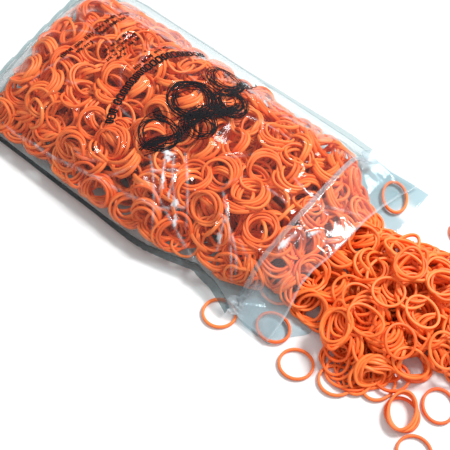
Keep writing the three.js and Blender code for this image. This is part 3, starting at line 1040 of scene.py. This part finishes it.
def lying_band(x, y, z, oval, turn, tilt):
    """The line of a band that lies nearly flat."""
    angle = np.arange(CHAIN) * 2 * math.pi / CHAIN
    turn, tilt = math.radians(turn), math.radians(tilt)
    u = BAND_RADIUS * (1 + oval * 0.9) * np.cos(angle)
    v = BAND_RADIUS * (1 - oval) * np.sin(angle)
    return np.stack([x + u * math.cos(turn) - v * math.sin(turn),
                     y + u * math.sin(turn) + v * math.cos(turn),
                     z + u * math.sin(tilt)], 1)


single_bands = sorted(n for n in nodes if "_band_" in n)
single_lines = {n: cad_band_line(n) for n in single_bands}
for name in single_bands:
    if name.startswith("heap"):
        single_lines[name] = slackened(single_lines[name])
resting = [single_lines[n] for n in single_bands if not n.startswith("loose")]
strays = [lying_band(*row) for row in STRAY_BANDS]
for name in single_bands:
    if name.startswith("heap") and int(name[-2:]) % 3 == 1:
        strays += nest(single_lines[name], RANDOM.integers(3, 6))
resting += strays
pair = band_mesh("oval_pair", [lying_band(*row) for row in PAIR])
finish_piece(pair, rubber, PAIR_CARRIER, "band_rubber")

front = Outline(FRONT_NODES)
back = Outline(BACK_NODES)
pile = Pile(Space(front), resting)
lines = pile.settle(220)
lines = np.concatenate([lines, strays])
middle = lines.mean(1)[:, 0]
groups = {
    "bag_bands": (lines[middle <= MOUTH - 24], "band_fill"),
    "mouth_bands": (lines[(middle > MOUTH - 24) & (middle <= MOUTH + 9)], "band_spill"),
    "spilled_bands": (lines[middle > MOUTH + 9], "band_heap"),
}
MOST_BANDS = 240
for name, (band_lines, cad_node) in groups.items():
    band_lines = band_lines[np.argsort(band_lines.mean(1)[:, 0])]
    for index, some in enumerate(np.array_split(band_lines, math.ceil(len(band_lines) / MOST_BANDS))):
        finish_piece(band_mesh(f"{name}_{index + 1}", some), rubber, "bag", "band_rubber", cad_node)
for name in single_bands:
    body = name if name.startswith("loose") else "bag"
    finish_piece(band_mesh(name + "_ring", [single_lines[name]]), rubber, body, "band_rubber", name)

coarse_x, coarse_y = np.arange(-150, 140, GRID), np.arange(-76, 78, GRID)
front_cad = Field(coarse_x, coarse_y, fill_gaps(heights(FRONT_NODES, coarse_x, coarse_y, False)))
back_cad = Field(coarse_x, coarse_y, fill_gaps(heights(BACK_NODES, coarse_x, coarse_y, True)))
draped, covered = drape(front, np.concatenate([lines, np.array(resting)]), front_cad)
FRONT_CREASES = Creases([
    # The crumpled patch beside the print.
    (6, -24, 22, -48, 2.6, 2.2, 1.0),
    (12, -22, 40, -52, 2.2, 1.8, -2.5),
    (2, -34, 30, -64, 1.8, 1.6, 2.0),
    (17, -20, 46, -53, 1.4, 1.4, 1.5),
    (8, -44, 24, -32, 1.6, 1.5, 0.5),
    (24, -56, 40, -44, 1.5, 1.5, -0.5),
    # Two long folds side by side that run down to the left end of the zip.
    (50, -25, 84, -58, 1.8, 0.9, 1.2),
    (56, -36, 85, -56, 1.5, 0.8, 4.0),
    (60, -34, 68, -52, 1.6, 1.3, 0.0),
    # A long thin fold along the left side, and one that crosses it.
    (15, -47, 68, -62, 1.5, 0.7, -1.5),
    (4, -59, 30, -54, 1.2, 0.6, 0.3),
    (-95, -66, 10, -57, 1.3, 0.7, -2.0),
    # Long folds along the right side, and short ones on the lip.
    (-120, 34, -20, 47, 1.2, 0.7, -1.5),
    (14, 40, 76, 52, 1.2, 0.8, 1.5),
    (97, -34, 98, -16, 1.6, 1.3, 0.6),
    (100, -16, 108, -4, 1.4, 0.8, 0.3),
    (112, -8, 118, 0, 1.2, 0.9, 0.0),
    (98, 6, 116, 20, 0.9, 0.8, 0.5),
]
    + loose_creases(30, (-120, 84, -60, 58), (12, 34), 20, 40, (0.2, 0.7))
    + loose_creases(8, (96, 118, -45, 45), (8, 18), 0, 25, (0.3, 0.8)))
BACK_CREASES = Creases(loose_creases(16, (98, 132, -66, 66), (10, 30), 30, 50, (0.2, 0.7)))


def front_height(x, y):
    return draped.at(x, y) + FRONT_CREASES.at(x, y)


def back_height(x, y):
    return np.maximum(back_cad.at(x, y) - 0.2 + BACK_CREASES.at(x, y) * smooth(94, 100, x), 0.3)


def bare(x, y):
    """1 where the film has no band under it, and 0 over the bands."""
    return 1 - smooth(0.25, 0.75, covered.at(x, y))


def pocket(x, y):
    """1 in the empty left corner of the mouth, where the film is creased, milky and darkened with painted
    shade.
    """
    return smooth(88, 95, x) * (1 - smooth(-46, -36, y))


x, y = front.grid(FILM_STEP)
z = front_height(x, y)
front_film = shell("front_film", x, y, z, z - FILM_THICK)
closed_end_haze = 0.11 * (1 - smooth(-138, -108, x))
# Creased facets painted white as a painted highlight: place, length, width, heading in degrees and strength.
HIGHLIGHT_FACETS = [
    (10, -27, 9, 2.6, 20, 0.75),
    (13, -30, 5, 3.4, -50, 0.6),
    (19, -41, 10, 1.4, -50, 0.8),
    (27, -45, 8, 1.1, -62, 0.6),
    (33, -47, 6, 3.0, -40, 0.8),
    (38, -53, 8, 1.6, -55, 0.7),
    (65, -46, 6, 2.2, -50, 0.75),
    (96, -27, 12, 2.0, 84, 0.7),
    (104, -10, 9, 1.0, 70, 0.8),
]


def facet_highlights(x, y):
    """How white the creased facets' painted highlight is at each place."""
    most = np.zeros_like(x)
    for cx, cy, length, width, heading, strength in HIGHLIGHT_FACETS:
        ux, uy = math.cos(math.radians(heading)), math.sin(math.radians(heading))
        along = ((x - cx) * ux + (y - cy) * uy) / (length / 2)
        across = ((y - cy) * ux - (x - cx) * uy) / (width / 2)
        jagged = 0.3 * np.sin(2.3 * x + 1.1 * y) * np.sin(1.7 * y - 0.6 * x)
        inside = 1 - smooth(0.75, 1.1, np.abs(along) + np.abs(across) * 0.7 + jagged)
        most = np.maximum(most, strength * inside)
    return most


lip_haze = 0.03 * smooth(90, 97, x)
lip_edge = 0.16 * smooth(front.end(y) - 1.6, front.end(y) - 0.4, x)
haze_and_highlight = 0.002 + closed_end_haze + bare(x, y) * (0.015 + 0.15 * pocket(x, y)) + lip_haze + lip_edge
# Painted highlights: the folds' ridges and the creased facets are whitened as if they caught the light.
haze_and_highlight += 0.5 * FRONT_CREASES.ridge_highlight(x, y) + facet_highlights(x, y)
paint(front_film, "haze_and_highlight", np.minimum(haze_and_highlight, 0.85))
# Painted shade: the front film is tinted darker where no band lies under it, and most in the mouth's pocket.
paint(front_film, "shade", bare(x, y) * (0.4 + 0.6 * pocket(x, y)))
front_film.data.materials.append(film)
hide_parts("front_panel", "front_lip")
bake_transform(front_film)
x, y = back.grid(FILM_STEP * 1.3)
z = back_height(x, y)
back_film = shell("back_film", x, y, z, z - FILM_THICK)
paint(back_film, "haze_and_highlight", 0.01 + 0.10 * bare(x, y) * pocket(x, y))
# Painted shade: the back film is tinted darker where no band lies on it, and most beyond the mouth.
paint(back_film, "shade", 0.7 * bare(x, y) * smooth(88, 96, x) + 0.25 * bare(x, y))
finish_piece(back_film, film, "bag", "clear_film", "back_panel", "back_lip")

welds = {
    "left_weld": side_weld("left_weld", "left_side_weld", front.left, -1, front_height),
    "right_weld": side_weld("right_weld", "right_side_weld", front.right, 1, front_height),
    "closed_end_weld": end_weld("closed_end_weld", front, front_height),
}
for name, cad_node in (("left_weld", "left_side_weld"), ("right_weld", "right_side_weld"),
                       ("closed_end_weld", "end_weld")):
    corners = welds[name].data.vertices
    places = np.array([v.co[0] for v in corners])[: len(corners) // 2] / MM
    # The left weld's strip is a painted shadow: a dark strip along the seam where the bag would shade the
    # table, darkest at the closed end and lighter towards the zip. The other welds get only a little of the
    # same painted shade.
    weld_shade = 0.85 - 0.55 * smooth(-20, 80, places) if name == "left_weld" else 0.1 + 0 * places
    paint(welds[name], "shade", weld_shade)
    paint(welds[name], "haze_and_highlight", 0.03 + 0 * places)
    finish_piece(welds[name], weld_film, "bag", "clear_film", cad_node)
FRONT_RIBS = ((0.2, 0.5), (0.9, 0.75), (1.9, 0.6), (2.4, 0.4))
BACK_RIBS = ((0.5, 0.25), (1.5, 0.25))
finish_piece(zip_track("front_zip", "front_zip_track", front_height, FRONT_RIBS), zip_film,
             "bag", "zip_plastic", "front_zip_track")
finish_piece(zip_track("back_zip", "back_zip_track", back_height, BACK_RIBS), zip_film,
             "bag", "zip_plastic", "back_zip_track")
finish_piece(crushed_end("left_zip_lump", "zip_end_left", front_height), zip_film, "bag", "zip_plastic",
             "zip_end_left")
finish_piece(crushed_end("right_zip_lump", "zip_end_right", front_height), zip_film, "bag", "zip_plastic",
             "zip_end_right")
finish_piece(print_marks("printed_marks", front_height), ink, "bag", None)
for name in ("front_zip", "back_zip", "left_zip_lump", "right_zip_lump"):
    track = bpy.data.objects[name]
    plain = np.full(len(track.data.vertices) // 2, 1.0)
    paint(track, "haze_and_highlight", plain * (0.17 if "zip_lump" in name else 0.14))
    paint(track, "shade", plain * 0.3)
